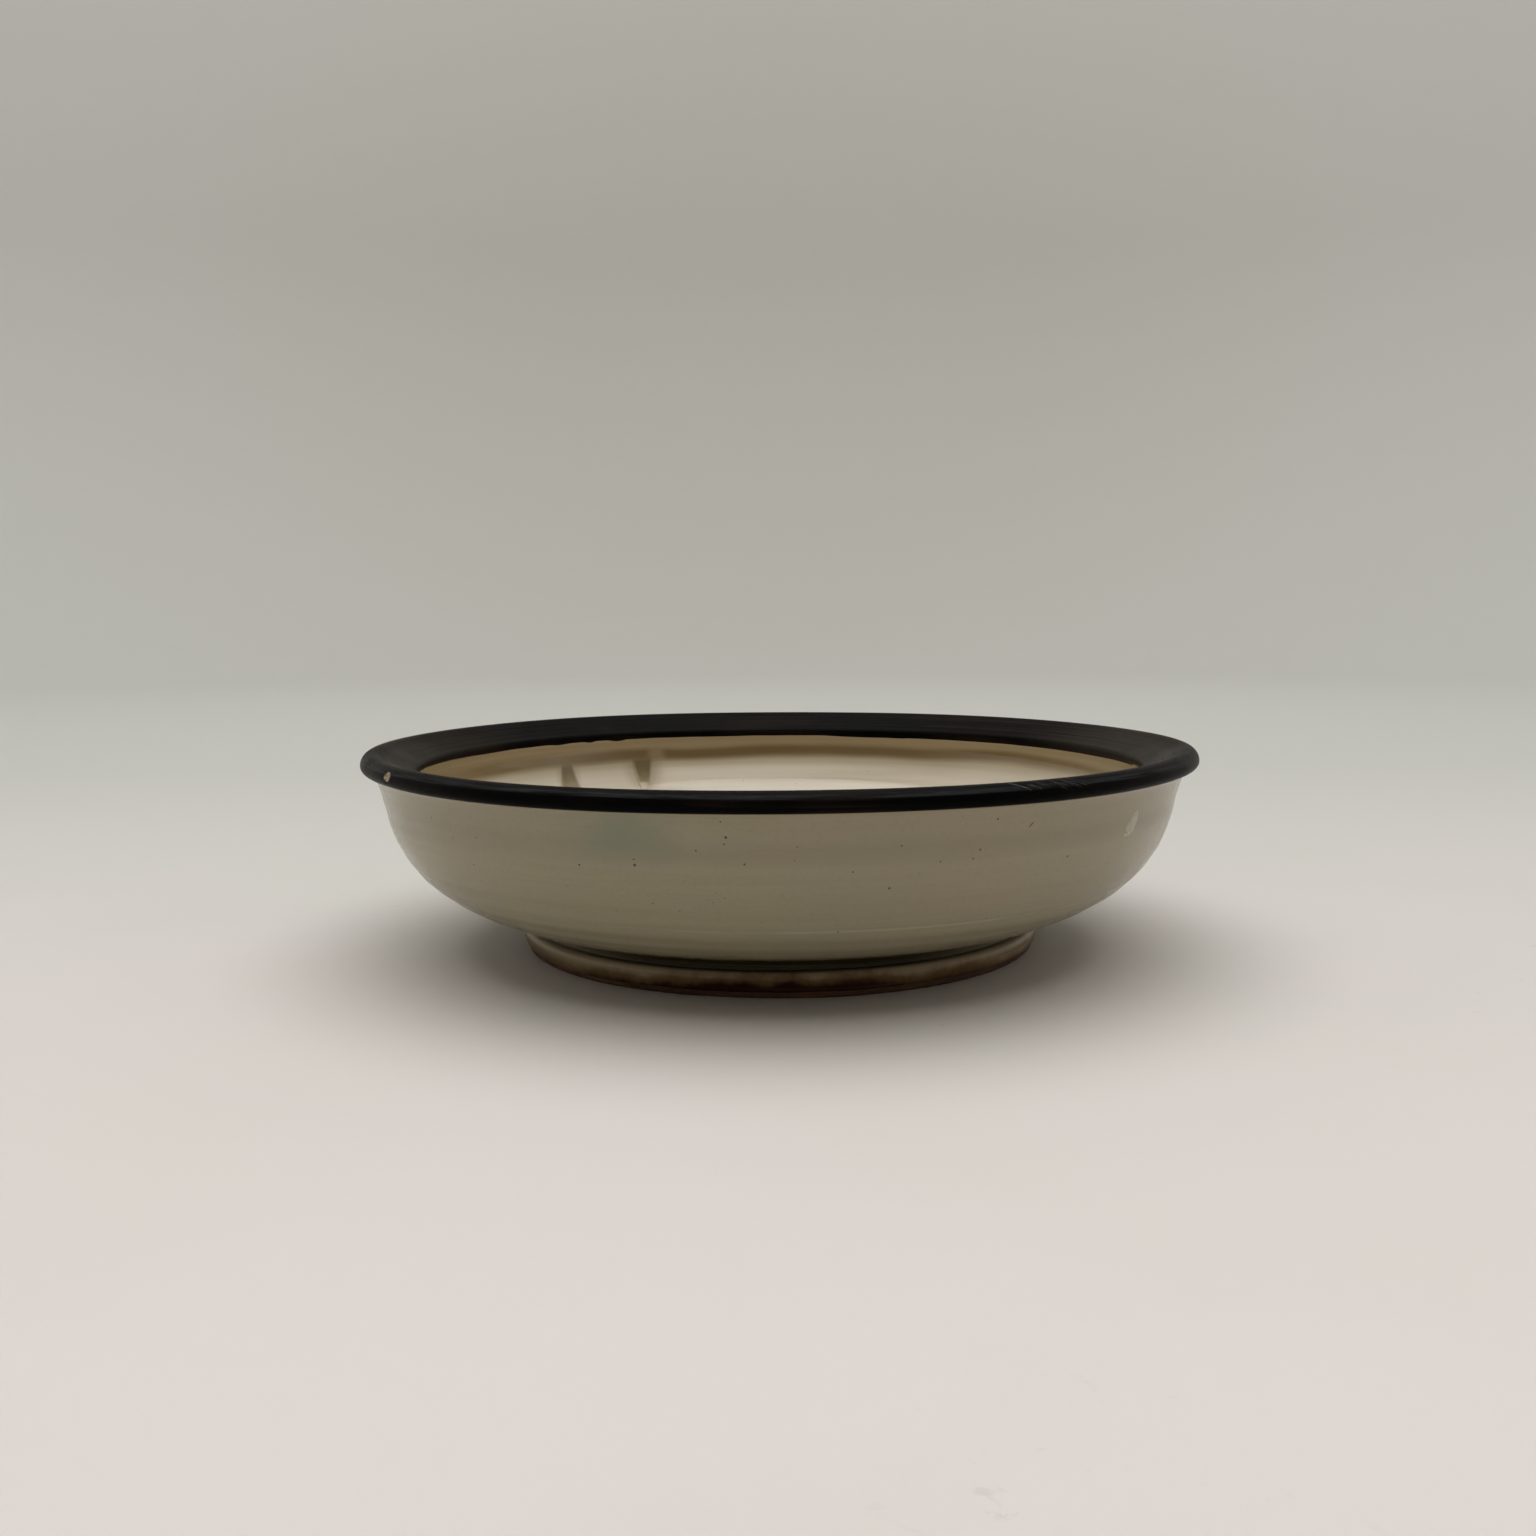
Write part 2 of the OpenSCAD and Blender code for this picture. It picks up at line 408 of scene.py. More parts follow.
def coat(name, start, end, azimuths, outer_count, thickness, seat=np.zeros_like):
    """A glaze coat as a closed shell. start and end give the coat's edges as lengths, the same all round or
    one for each azimuth, thickness(s, azimuth) its outer face, and seat(s) the face that it lies on."""
    azimuth = azimuths[None, :]
    start, end = start + 0 * azimuths, end + 0 * azimuths

    def stations(count):
        u = np.linspace(0, 1, count)[:, None]
        plain_start, plain_end = float(np.mean(start)), float(np.mean(end))
        s = plain_start + u * (plain_end - plain_start)
        near_start = 1 - smoothstep(0, 3.0, s - plain_start)
        near_end = 1 - smoothstep(0, 3.0, plain_end - s)
        return s + near_start * (start - plain_start)[None, :] + near_end * (end - plain_end)[None, :]

    s_out = stations(outer_count)
    edge = np.minimum(s_out - s_out[:1], s_out[-1:] - s_out)
    base = seat(s_out)
    outer = base + (thickness(s_out, azimuth) - base) * rounded_end(edge, 0.45)
    s_in = stations(24)[::-1]
    r_out, z_out = surface(s_out, azimuth, outer)
    r_in, z_in = surface(s_in, azimuth, seat(s_in) - GLAZE_SEAT)
    return turned(name, np.concatenate([r_out, r_in]), np.concatenate([z_out, z_in]), azimuths)


def wander(azimuths, depth, seed, orders=(2, 3, 5, 8, 13, 21, 34, 55)):
    """A smooth random wave round the pot, never more than depth to either side."""
    rng = np.random.default_rng(seed)
    wave = sum(np.sin(k * azimuths + rng.uniform(0, FULL_TURN)) / math.sqrt(k) for k in orders)
    return depth * wave / sum(1 / math.sqrt(k) for k in orders)


def patch(name, azimuth, s_start, s_end, half_width, height, rows, columns, lean=0.0):
    """A low closed pad that lies on a coat, such as a glaze run, in millimetres. half_width(v) has v from 0
    at s_start to 1 at s_end; height(u, v) is its thickness, with u from -1 to 1 across it; lean is how far
    its end is shifted sideways."""
    v = np.linspace(0, 1, rows)[:, None]
    u = np.linspace(-1, 1, columns)[None, :]
    s = s_start + v * (s_end - s_start) + 0 * u
    radius = surface(s, azimuth, GLAZE_T)[0]
    across = azimuth + (u * half_width(v) + lean * (v - 0.5)) / radius
    rim = arch(u) * arch((2 * v - 1) ** 4)
    top = point_on(s, across, GLAZE_T - PAD_EDGE_SINK + height(u, v) * rim)
    under = point_on(s, across, GLAZE_T - PAD_SINK)
    vertices = np.concatenate([top.reshape(-1, 3), under.reshape(-1, 3)])
    count = rows * columns
    faces = []
    for i in range(rows - 1):
        for j in range(columns - 1):
            a, b = i * columns + j, (i + 1) * columns + j
            faces.append((a, a + 1, b + 1, b))
            faces.append((count + a, count + b, count + b + 1, count + a + 1))
    edge = list(range(columns)) + [i * columns + columns - 1 for i in range(1, rows)]
    edge += [(rows - 1) * columns + j for j in range(columns - 2, -1, -1)]
    edge += [i * columns for i in range(rows - 2, 0, -1)]
    for a, b in zip(edge, edge[1:] + edge[:1]):
        faces.append((b, a, count + a, count + b))
    return make_object(name, vertices, faces)


def drill(obj, places, r, low, high, flare=0.0):
    """Cuts round holes down through obj, each with its edges eased by flare."""
    angles = np.linspace(0, FULL_TURN, HOLE_SIDES, endpoint=False)
    profile = [(r, low - 1), (r, high + 1)]
    if flare:
        eased = [(r + flare, -1), (r + flare, 0), (r + 0.3 * flare, 0.4 * flare), (r, 1.2 * flare)]
        profile = [(radius, low + up) for radius, up in eased]
        profile += [(radius, high - up) for radius, up in reversed(eased)]
    lids = [list(range(HOLE_SIDES))[::-1], [(len(profile) - 1) * HOLE_SIDES + j for j in range(HOLE_SIDES)]]
    for place_x in places:
        vertices = [((place_x + radius * math.cos(a)) * MM, radius * math.sin(a) * MM, z * MM)
                    for radius, z in profile for a in angles]
        cutter = link_object("cutter", vertices, ring_faces(len(profile), HOLE_SIDES) + lids)
        cut = obj.modifiers.new("hole", "BOOLEAN")
        cut.operation, cut.object, cut.solver = "DIFFERENCE", cutter, "MANIFOLD"
        bpy.context.view_layer.update()
        depsgraph = bpy.context.evaluated_depsgraph_get()
        drilled = bpy.data.meshes.new_from_object(obj.evaluated_get(depsgraph))
        obj.modifiers.clear()
        obj.data = drilled
        bpy.data.objects.remove(cutter)
    obj.data.shade_smooth()
    obj.data.set_sharp_from_angle(angle=math.radians(50))


def finish_piece(obj, material, slot, *nodes):
    """Gives a piece its material and its body, and hides the CAD nodes that it stands for. slot is not used.
    """
    obj.data.materials.clear()
    obj.data.materials.append(material)
    if nodes:
        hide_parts(*nodes)
    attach(obj, "root")
    return obj


# ---------------- pieces


def thrown_bowl(material):
    """Floor, wall and lip of clay, with a flat turned underside and an eased drain hole."""
    azimuths = even_turn(420)
    azimuth = azimuths[None, :]
    s = np.linspace(S_GROOVE, S_DRAIN, 150)[:, None]
    r_line, z_line = surface(s, azimuth, 0.0)
    ease = 0.5
    bore = arc([DRAIN_R + ease, FLOOR_Z - ease], ease, 90, 180, 6)
    bore += arc([DRAIN_R + ease, FOOT_H + ease], ease, 180, 270, 6)
    bore = np.array(bore)
    r_bore, z_bore = settle(bore[:, :1] + 0 * azimuth, bore[:, 1:] + 0 * azimuth, azimuth)
    r_under = np.linspace(DRAIN_R + ease + 0.4, FOOT_R - GROOVE - 0.4, 60)[:, None]
    turned_rings = 0.045 * (1 + rings(r_under, azimuth, (1.7, 2.9), 1.0, 21))
    z_under = FOOT_H + turned_rings * (1 - smoothstep(36, 39, r_under)) * smoothstep(6.8, 8, r_under)
    radius = np.concatenate([r_line, r_bore, r_under + 0 * azimuth])
    height = np.concatenate([z_line, z_bore, z_under])
    bowl = turned("thrown_bowl", radius, height, azimuths)
    drill(bowl, (-WIRE_X, WIRE_X), WIRE_R, FOOT_H, FLOOR_Z, flare=0.35)
    return finish_piece(bowl, material, "stoneware", "clay_body")


def turned_foot(material):
    """Foot ring with worn, eased lower edges."""
    azimuths = even_turn(640)
    azimuth = azimuths[None, :]
    s = np.linspace(0, S_GROOVE, 60)[:, None]
    r_line, z_line = surface(s, azimuth, 0.0)
    inner_r = FOOT_R - FOOT_W
    low_r = FOOT_R - FOOT_TAPER
    rest = [[inner_r + 0.3, FOOT_H], [inner_r, FOOT_H - 0.3]]
    rest += [[inner_r, z] for z in np.linspace(FOOT_H - 0.8, FOOT_EDGE + 0.2, 10)]
    rest += arc([inner_r + FOOT_EDGE, FOOT_EDGE], FOOT_EDGE, 180, 270, 8)
    rest += [[r, 0.0] for r in np.linspace(inner_r + 1.4, low_r - 1.4, 8)]
    rest += arc([low_r - FOOT_EDGE, FOOT_EDGE], FOOT_EDGE, 270, 355, 10)
    rest = np.array(rest)
    near_edge = np.exp(-((rest[:, :1] - low_r) / 0.8) ** 2) * (rest[:, 1:] < FOOT_EDGE)
    worn = near_edge * np.clip(wander(azimuths, 0.35, 31), 0, 1)[None, :]
    grit = 0.02 * rings(rest[:, 1:], azimuth, (0.7, 1.1), 1.0, 33) * (rest[:, 1:] > FOOT_EDGE)
    r_rest = rest[:, :1] - worn - np.abs(grit)
    z_rest = rest[:, 1:] + 0.4 * worn
    ring = turned("turned_foot", np.concatenate([r_line, r_rest]), np.concatenate([z_line, z_rest]), azimuths)
    return finish_piece(ring, material, "foot_clay", "foot_ring")


def outer_coat(material):
    """Pale glaze on the belly and wall, pooled in the groove and running on under the dark glaze."""

    def thickness(s, azimuth):
        pooled = 0.30 * hump(S_GROOVE, 1.6, s)
        under_dark = 0.13 * smoothstep(S_BAND - 0.3, S_BAND + 0.5, s)
        return GLAZE_T + pooled - under_dark

    shell = coat("outer_coat", S_GROOVE - 0.3, S_BAND + 1.6, even_turn(660), 112, thickness)
    return finish_piece(shell, material, "pale_glaze", "outer_glaze")


def lip_coat(material):
    """Dark glaze over the lip. Its edges wander, sag in small drips and are chipped once."""
    azimuths = even_turn(760, dense_at=from_front(CHIP_AT))
    azimuth = azimuths[None, :]
    right_of_back = np.degrees(np.arctan2(np.cos(azimuths), np.sin(azimuths)))
    right_back = (np.sin(azimuths) > 0) * smoothstep(8, 16, right_of_back)
    drips = sum(depth * hump(from_back(at), math.radians(width), azimuths)
                for at, width, depth in INNER_DRIPS)
    start = S_BAND + wander(azimuths, 0.28, 41) - 0.25 * right_front(azimuths)
    end = S_CREASE + wander(azimuths, 0.30, 43) + 0.45 * right_back + drips

    def thickness(s, azimuth):
        bead = 0.07 * hump(S_BAND + 0.9, 1.4, s) + 0.07 * hump(S_CREASE - 0.9, 1.4, s)
        crest = hump(S_CREST + 0.4, 1.8, s)
        pits = 0.03 * crest * np.clip(rings(s, 37 * azimuth, (0.35, 0.6), 1.0, 47, climb=3), 0, 1)
        across = (azimuth - from_front(CHIP_AT) % FULL_TURN) * RIM_R
        upward = s - (S_WIDEST + CHIP_UP)
        ragged = 0.12 * np.sin(9 * across + 2 * upward) + 0.1 * np.sin(14 * upward - 5 * across)
        depth = 1 - smoothstep(0.25, 1.0, np.hypot(across / CHIP_W, upward / CHIP_H) + ragged)
        return GLAZE_T + bead - pits - 0.45 * depth

    def seat(s):
        over_pale = 1 - smoothstep(S_BAND + 0.9, S_BAND + 1.5, s)
        over_amber = smoothstep(S_CREASE - 1.5, S_CREASE - 0.9, s)
        return 0.28 * (over_pale + over_amber)

    shell = coat("lip_coat", start, end, azimuths, 96, thickness, seat)
    return finish_piece(shell, material, "iron_glaze", "rim_glaze")


def right_front(azimuths):
    """1 where the lip's outer face was dipped a little deeper, at the right of the front."""
    at = np.degrees((azimuths - from_front(0) + math.pi) % FULL_TURN - math.pi)
    return smoothstep(18, 30, at) * (1 - smoothstep(38, 50, at))


def inner_coat(material):
    """Inner glaze from under the dark one to the drain hole, wiped back from the tie-wire holes."""
    azimuths = even_turn(560)

    def thickness(s, azimuth):
        under_dark = 0.13 * (1 - smoothstep(S_CREASE - 0.5, S_CREASE + 0.3, s))
        pooled = 0.12 * hump(S_DRAIN - 34, 12, s)
        return GLAZE_T - under_dark + pooled

    end = S_DRAIN - 0.25 + wander(azimuths, 0.4, 51)
    shell = coat("inner_coat", S_CREASE - 1.4, end, azimuths, 130, thickness)
    drill(shell, (-WIRE_X, WIRE_X), WIRE_R + 0.9 * WIPED, FOOT_H, FLOOR_Z + 3)
    return finish_piece(shell, material, "amber_glaze", "inner_glaze")


def foot_coat(material):
    """Thin glaze on the foot ring, down to its bare lower edge."""
    azimuths = even_turn(640)

    def thickness(s, azimuth):
        return 0.30 + 0.10 * smoothstep(0, 2.5, s) + 0.30 * hump(S_GROOVE, 1.6, s)

    start = 0.35 + wander(azimuths, 0.3, 61)
    shell = coat("foot_coat", start, S_GROOVE + 0.5, azimuths, 56, thickness)
    return finish_piece(shell, material, "foot_glaze", "foot_glaze")


def glaze_run(at, z_top, z_low, head, foot):
    """One run of glaze inside, thin at the top, with a round foot."""
    s_top = inside_length(z_top)
    s_low = inside_length(z_low)
    round_from = 1 - foot / 2 / (s_low - s_top)

    def half_width(v):
        plain = (head + (foot - head) * smoothstep(0.05, 0.75, v)) / 2
        past = np.clip((v - round_from) / (1 - round_from), 0, 1)
        return plain * arch(past, 0.003)

    def height(u, v):
        return 0.045 + 0.28 * smoothstep(0.1, 0.7, v)

    return patch("glaze_run", from_back(at), s_top, s_low, half_width, height, rows=48, columns=21)


def glaze_runs(material):
    """Two runs of tan glaze down the inside wall, in one piece."""
    runs = [glaze_run(*run) for run in RUNS]
    return join_pieces("glaze_runs", runs, material, "run_glaze", "inner_glaze_runs")


def join_pieces(name, parts, material, slot, *nodes):
    """Puts several closed solids into one mesh object."""
    vertices, faces, base = [], [], 0
    for part in parts:
        vertices += [tuple(v.co) for v in part.data.vertices]
        faces += [tuple(base + i for i in face.vertices) for face in part.data.polygons]
        base = len(vertices)
        bpy.data.objects.remove(part)
    return finish_piece(link_object(name, vertices, faces), material, slot, *nodes)


def oval(half_width):
    """Half width of an oval patch, for v from 0 to 1 along it."""
    return lambda v: half_width * arch(2 * v - 1, 0.02)


def even(thickness):
    """Height of a patch that is the same all over."""
    return lambda u, v: thickness


def iron_flecks(material):
    """Iron flecks that melted through the pale glaze: a few seen ones at the front and a seeded scatter."""
    rng = np.random.default_rng(71)
    flecks = [(from_front(at), z, size, 1.0) for at, z, size in FLECKS]
    for _ in range(110):
        at = rng.uniform(0, FULL_TURN)
        size = 0.09 + 0.13 * rng.random() ** 3
        flecks.append((at, rng.uniform(11, 32), size, rng.uniform(0.7, 1.0)))
    parts = []
    for azimuth, z, size, squash in flecks:
        s = outside_length(z)
        parts.append(patch("fleck", azimuth, s - size * squash, s + size * squash, oval(size), even(0.055),
                           rows=7, columns=7))
    s = outside_length(DASH_Z)
    parts.append(patch("fleck", from_front(DASH_AT), s - 0.5, s + 0.5, oval(0.17), even(0.06),
                       rows=9, columns=7, lean=0.8))
    return join_pieces("iron_flecks", parts, material, "iron_glaze")


def pointed(half_width):
    """Half width of a scratch, thin at both ends."""
    return lambda v: half_width * np.sin(math.pi * np.clip(v, 0.04, 0.96))


def lip_scratches(material):
    """One long slanted scratch across the worn crest, at the right of the front, and faint ones round it."""
    rng = np.random.default_rng(83)
    parts = []
    scratches = [(SCRATCH_AT, 0.75, 1.5, 0.11, 3.6)]
    for _ in range(18):
        at = SCRATCH_AT + rng.choice((1.5, 6.5, 8.0)) + rng.normal(0, 1.3)
        up = rng.uniform(0.5, 1.6)
        length = rng.uniform(0.5, 1.2)
        thin = rng.uniform(0.04, 0.075)
        scratches.append((at, up, length, thin, rng.uniform(1.6, 3.4)))
    for at, up, length, thin, lean in scratches:
        low = S_WIDEST + up
        parts.append(patch("scratch", from_front(at), low, low + length, pointed(thin), even(0.055),
                           rows=13, columns=5, lean=-lean))
    return join_pieces("lip_scratches", parts, material, "iron_glaze")


def blister(material):
    """A pale, slanted, lumpy blister in the glaze."""

    def half_width(v):
        return (1.85 - 0.45 * v) * arch(2 * v - 1, 0.01) + 0.1 * np.sin(13 * v)

    def height(u, v):
        return 0.07 + 0.035 * np.sin(11 * v + 2 * u) * np.cos(5 * u) + 0.035 * np.cos(7 * u + 13 * v)

    low, top = outside_length(BLISTER_LOW), outside_length(BLISTER_TOP)
    pad = patch("blister", from_front(BLISTER_AT), low, top, half_width, height, 40, 25, lean=1.7)
    return join_pieces("glaze_blister", [pad], material, "pale_glaze")


# ---------------- materials


class Paint:
    """One node material, with short calls for the few kinds of node that it is made of."""

    def __init__(self, name, roughness, coat=0.0, coat_roughness=0.05, specular=0.5):
        self.material = bpy.data.materials.new(name)
        self.material.use_nodes = True
        self.nodes = self.material.node_tree.nodes
        self.links = self.material.node_tree.links
        self.shader = self.nodes["Principled BSDF"]
        settings = {"Roughness": roughness, "IOR": 1.5, "Specular IOR Level": specular,
                    "Coat Weight": coat, "Coat Roughness": coat_roughness}
        for key, value in settings.items():
            self.shader.inputs[key].default_value = value
        self.place = self.nodes.new("ShaderNodeTexCoord").outputs["Object"]

    def set(self, socket, value):
        if isinstance(value, bpy.types.NodeSocket):
            self.links.new(value, socket)
        elif isinstance(value, (tuple, list)) and len(value) == 3 and socket.type == "RGBA":
            socket.default_value = (*value, 1)
        else:
            socket.default_value = value

    def node(self, kind, source):
        """A new node with its first input linked."""
        node = self.nodes.new("ShaderNode" + kind)
        self.links.new(source, node.inputs[0])
        return node

    def stretched(self, x, y, z):
        """Object coordinates scaled along each axis, in cycles of a texture of scale 1."""
        node = self.node("Mapping", self.place)
        node.inputs["Scale"].default_value = (x, y, z)
        return node.outputs["Vector"]

    def noise(self, scale, detail=3.0, rough=0.5, warp=0.0, vector=None):
        node = self.node("TexNoise", vector or self.place)
        for key, value in (("Scale", scale), ("Detail", detail), ("Roughness", rough), ("Distortion", warp)):
            node.inputs[key].default_value = value
        return node.outputs["Fac"]

    def bands(self, per_mm, detail=3.0, rough=0.55, round_about=6.0):
        """Noise in level bands, as left by a wheel: quick in height and slow round about."""
        return self.noise(1.0, detail, rough, vector=self.stretched(round_about, round_about, per_mm / MM))

    def dots(self, per_mm, size):
        """1 in small scattered spots, one or none in each cell of a grid."""
        node = self.node("TexVoronoi", self.place)
        node.inputs["Scale"].default_value = per_mm / MM
        chance = self.node("SeparateColor", node.outputs["Color"]).outputs["Red"]
        chosen = self.span(chance, 0.70, 0.72)
        near = self.span(node.outputs["Distance"], size, size * 0.6)
        return self.product(chosen, near)

    def axis(self, part):
        return self.node("SeparateXYZ", self.place).outputs[part]

    def vector(self, operation, a, b=(0, 0, 0)):
        """A vector operation on a, with b constant; a number for a length or a dot product."""
        node = self.node("VectorMath", a)
        node.operation = operation
        node.inputs[1].default_value = b
        return node.outputs["Value" if operation in ("LENGTH", "DOT_PRODUCT") else "Vector"]

    def radius(self):
        """Distance from the pot's axis, in metres."""
        return self.vector("LENGTH", self.vector("MULTIPLY", self.place, (1, 1, 0)))

    def maths(self, operation, a, b=0.0):
        node = self.nodes.new("ShaderNodeMath")
        node.operation = operation
        self.set(node.inputs[0], a)
        self.set(node.inputs[1], b)
        return node.outputs[0]

    def product(self, *factors):
        result = factors[0]
        for factor in factors[1:]:
            result = self.maths("MULTIPLY", result, factor)
        return result

    def span(self, value, low, high, to_low=0.0, to_high=1.0):
        """value carried smoothly from low..high to to_low..to_high."""
        node = self.nodes.new("ShaderNodeMapRange")
        node.interpolation_type = "SMOOTHSTEP"
        for socket, number in zip(node.inputs[1:5], (low, high, to_low, to_high)):
            socket.default_value = number
        self.set(node.inputs[0], value)
        return node.outputs[0]

    def between(self, value, low, full_from, full_to, high):
        """1 from full_from to full_to, falling smoothly to 0 at low and at high."""
        return self.product(self.span(value, low, full_from), self.span(value, high, full_to))

    def wobble(self, texture, size):
        """A texture's values, spread from -size to size."""
        return self.span(texture, 0, 1, -size, size)

    def blend(self, factor, a, b):
        """A number that goes from a to b as factor goes from 0 to 1."""
        rest = self.maths("SUBTRACT", 1.0, factor)
        return self.maths("ADD", self.product(rest, a), self.product(factor, b))

    def mix(self, factor, a, b):
        """A colour that goes from a to b as factor goes from 0 to 1."""
        node = self.nodes.new("ShaderNodeMix")
        node.data_type = "RGBA"
        self.set(node.inputs[0], factor)
        self.set(node.inputs[6], a)
        self.set(node.inputs[7], b)
        return node.outputs[2]

    def across(self, azimuth):
        """Distance in metres, to either side, from the upright plane through the axis at an azimuth."""
        square = (-math.sin(azimuth), math.cos(azimuth), 0)
        return self.maths("ABSOLUTE", self.vector("DOT_PRODUCT", self.place, square))

    def reach(self, centre, wide, high=None):
        """Distance from a place in metres: 0 there, 1 so far away level, and 1 so far above or below it."""
        away = self.vector("SUBTRACT", self.place, centre)
        return self.vector("LENGTH", self.vector("DIVIDE", away, (wide, wide, high or wide)))

    def bump(self, height, depth, under=None):
        """Adds a bump of the given depth in millimetres."""
        node = self.nodes.new("ShaderNodeBump")
        node.inputs["Distance"].default_value = depth * MM
        self.set(node.inputs["Height"], height)
        if under is not None:
            self.links.new(under, node.inputs["Normal"])
        return node.outputs["Normal"]

    def finish(self, colour, roughness=None, normal=None):
        self.set(self.shader.inputs["Base Color"], colour)
        if roughness is not None:
            self.links.new(roughness, self.shader.inputs["Roughness"])
        if normal is not None:
            self.links.new(normal, self.shader.inputs["Normal"])
        return self.material


def on_glaze(s, azimuth):
    """Place on a glaze coat, in metres."""
    return tuple(point_on(s, azimuth, GLAZE_T) * MM)


def below_crest(depth):
    """Height in metres of a level so many millimetres below the crest of the lip."""
    return (POT_H - depth) * MM


# Colour of the glaze pooled in the groove, darkened to near black as painted shade of the recess
POOL_AND_SHADE_COLOUR = (0.020, 0.016, 0.002)


def pool_and_shade_depth(p):
    """How strong the dark groove colour is: full at the front, weaker towards the back. Partly glaze pooled
    in the groove, partly painted shade, deepest at the front.
    """
    return p.span(p.reach((0, -0.047, 0.006), 0.060), 0.95, 0.3, 0.35, 1.0)


def pale_glaze():
    """Pale grey-olive glaze: level streaks, soft mottling, a blue-green flush, fine specks, a painted shade
    band under the lip, a pale line on the ridge that is partly painted highlight, and dark pooled glaze in
    the groove deepened by painted shade.
    """
    p = Paint("pale_glaze", 0.2, specular=0.46)
    streaks = p.bands(0.45, detail=4, rough=0.6)
    fine = p.bands(2.2, detail=2, round_about=40)
    clouds = p.noise(38, detail=3, rough=0.55)
    colour = p.mix(p.span(streaks, 0.35, 0.68), (0.335, 0.303, 0.197), (0.308, 0.272, 0.170))
    colour = p.mix(p.span(clouds, 0.42, 0.68, 0, 0.6), colour, (0.290, 0.286, 0.188))
    colour = p.mix(p.span(p.noise(17, detail=2), 0.46, 0.62, 0, 0.55), colour, (0.335, 0.280, 0.192))
    colour = p.mix(p.span(fine, 0.4, 0.75, 0, 0.14), colour, (0.38, 0.35, 0.235))
    colour = p.mix(p.span(p.noise(1300, detail=2), 0.45, 0.7, 0, 0.22), colour, (0.27, 0.235, 0.155))
    height = p.axis("Z")
    # Painted shade: a darker band on the wall under the lip's overhang
    under_lip_shade = p.between(height, 0.0245, 0.0268, 0.0275, 0.0300)
    colour = p.mix(p.product(under_lip_shade, 0.35), colour, (0.27, 0.235, 0.16))
    # Painted shade with pooled glaze: near black low on the belly at the groove, strongest at the front
    pooled = p.span(height, 0.0089, 0.0074, 0, 0.95)
    colour = p.mix(p.product(pooled, pool_and_shade_depth(p)), colour, POOL_AND_SHADE_COLOUR)
    # A pale line along the ridge: partly glaze breaking thin over it, partly painted highlight
    line = PALE_LINE_Z * MM
    broken = p.span(p.noise(45, detail=3), 0.46, 0.6, 0, 0.36)
    ridge_break_and_highlight = p.product(p.between(height, line - 0.0004, line, line, line + 0.0004), broken)
    colour = p.mix(ridge_break_and_highlight, colour, (0.50, 0.46, 0.35))
    flush_place = on_glaze(outside_length(FLUSH_Z), from_front(FLUSH_AT))
    flush = p.reach(flush_place, 0.0105, 0.0062)
    flush = p.maths("ADD", flush, p.wobble(p.noise(160, detail=2), 0.2))
    colour = p.mix(p.span(flush, 1.1, 0.0, 0, 0.7), colour, (0.208, 0.236, 0.168))
    colour = p.mix(p.product(p.dots(0.85, 0.085), 0.4), colour, (0.20, 0.15, 0.09))
    colour = p.mix(p.product(p.dots(0.42, 0.065), 0.7), colour, (0.13, 0.09, 0.05))
    roughness = p.span(p.noise(120, detail=2), 0.3, 0.7, 0.16, 0.25)
    normal = p.bump(p.bands(1.1, detail=2, round_about=25), 0.014)
    return p.finish(colour, roughness, p.bump(p.noise(900, detail=2), 0.005, normal))


